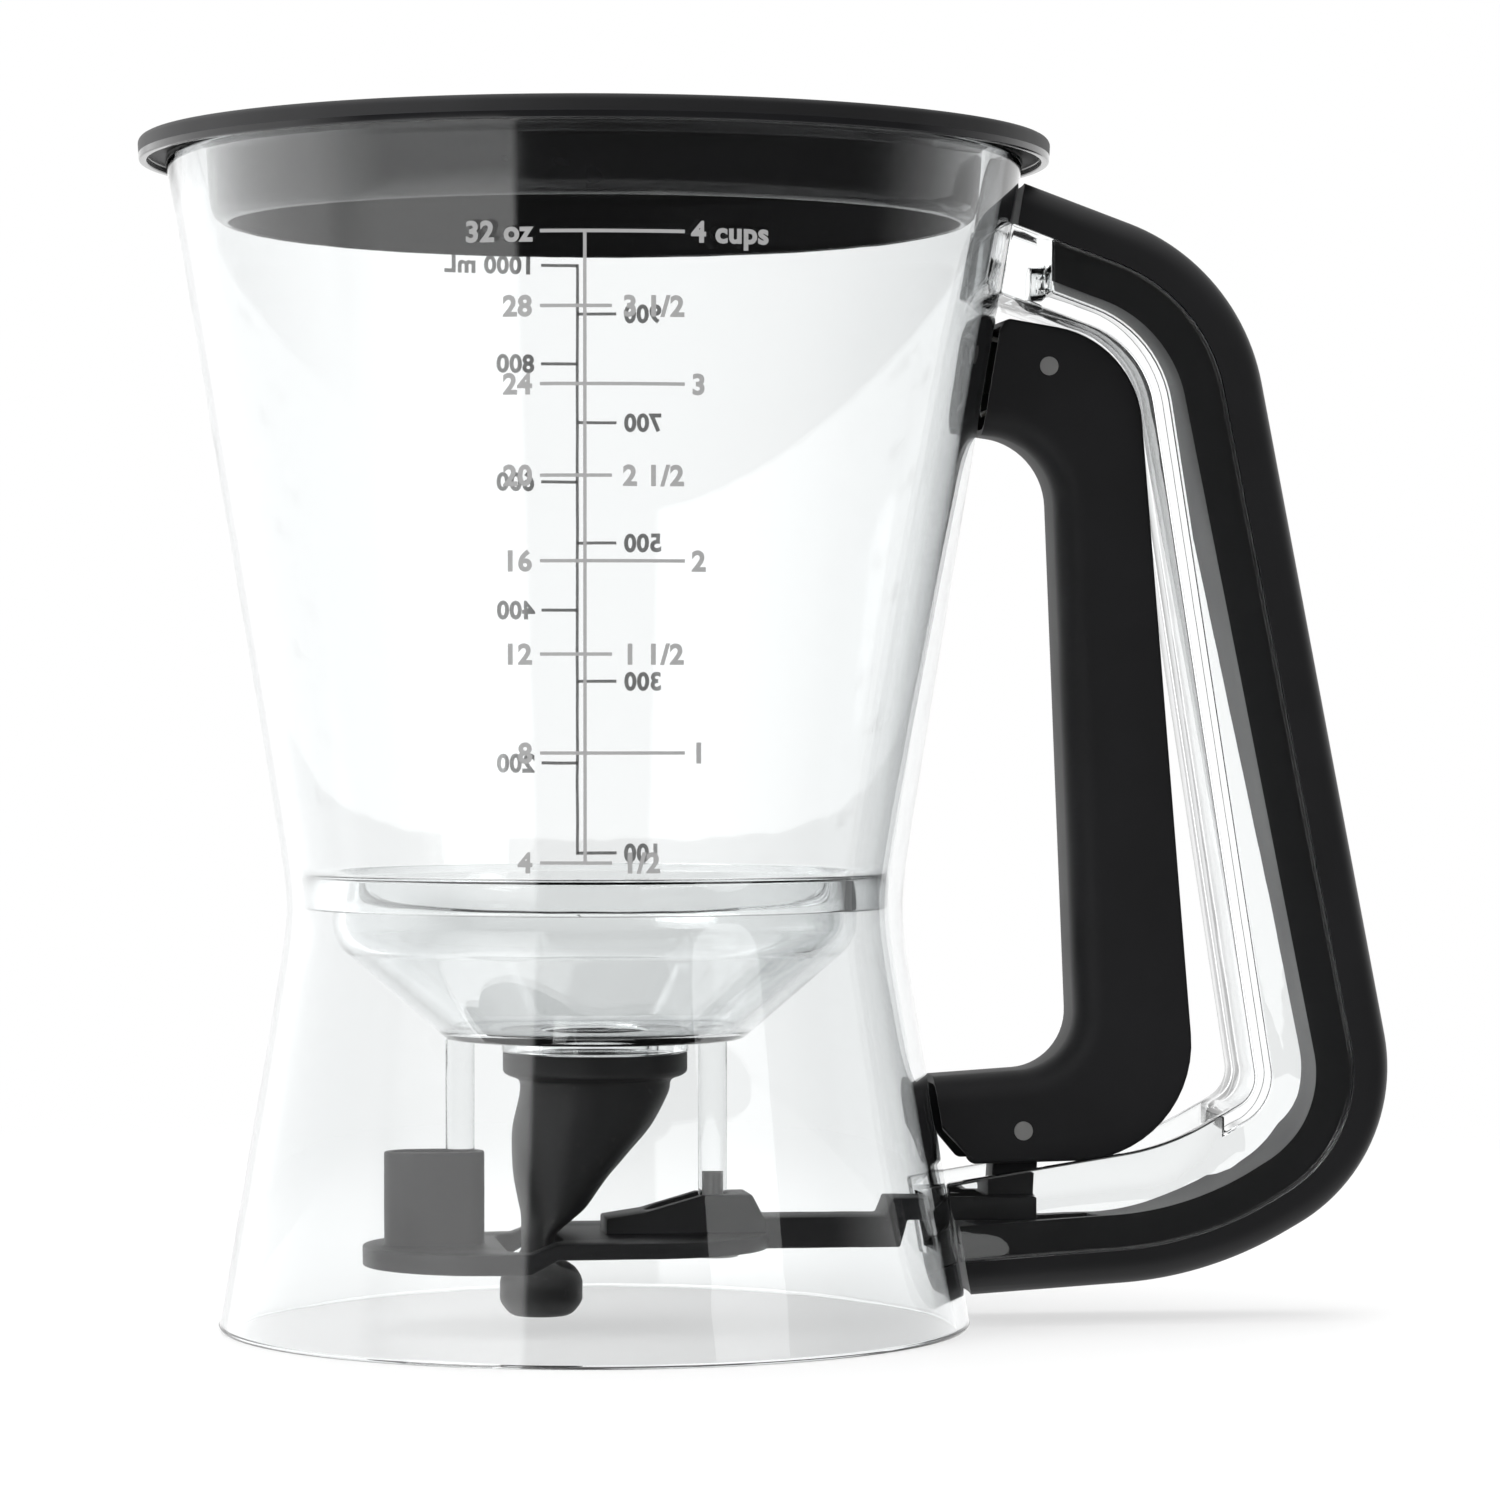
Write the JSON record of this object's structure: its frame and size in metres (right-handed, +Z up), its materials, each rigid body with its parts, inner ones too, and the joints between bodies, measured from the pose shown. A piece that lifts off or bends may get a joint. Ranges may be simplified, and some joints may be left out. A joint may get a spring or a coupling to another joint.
{
  "type": "pancake batter dispenser",
  "caption": "Clear jug with a funnel floor, plug-in lid, and a sprung trigger in the handle that slides an arm to open a soft kinked nozzle over the pan.",
  "frame": {"origin": "on the jug's axis, in the plane of the skirt's foot", "axes": "+Z up along the jug's axis, +X towards the handle"},
  "size_m": [0.1944, 0.1408, 0.1832],
  "materials": {
    "clear_body": "clear moulded plastic",
    "clear_handle": "clear moulded plastic",
    "lid": "satin black",
    "grip": "soft black",
    "trigger": "soft black",
    "arm": "black",
    "nozzle": "matt silicone",
    "steel": "plain"
  },
  "bodies": {
    "jug_body": {"jug": "clear_body", "skirt": "clear_body", "funnel_bowl": "clear_body", "left_guide_post": "clear_body", "right_guide_post": "clear_body", "guide_screws": "steel", "handle_frame": "clear_handle", "handle_root_plug": "clear_handle", "grip": "grip", "hinge_pin": "steel", "trigger_spring": "steel", "nozzle": "nozzle"},
    "lid": {"lid": "lid"},
    "trigger": {"trigger": "trigger", "link_pin": "steel"},
    "arm": {"valve_arm": "arm"}
  },
  "joints": [
    {"name": "lid_lift", "type": "slide", "parent": "jug_body", "child": "lid", "axis": [0, 0, 1], "range_m": [0, 0.03]},
    {"name": "trigger_squeeze", "type": "hinge", "parent": "jug_body", "child": "trigger", "pos_m": [0.07, 0, 0.1488], "axis": [0, -1, 0], "range_deg": [0, 3.86], "stiffness_Nm_per_rad": 1.2, "springref_deg": -20.05, "deforming": ["trigger_spring"]},
    {"name": "arm_slide", "type": "slide", "parent": "jug_body", "child": "arm", "axis": [1, 0, 0], "range_m": [0, 0.0081], "deforming": ["nozzle"]}
  ],
  "couplings": [
    {"joint": "arm_slide", "follows": "trigger_squeeze", "m_per_rad": 0.11875}
  ]
}
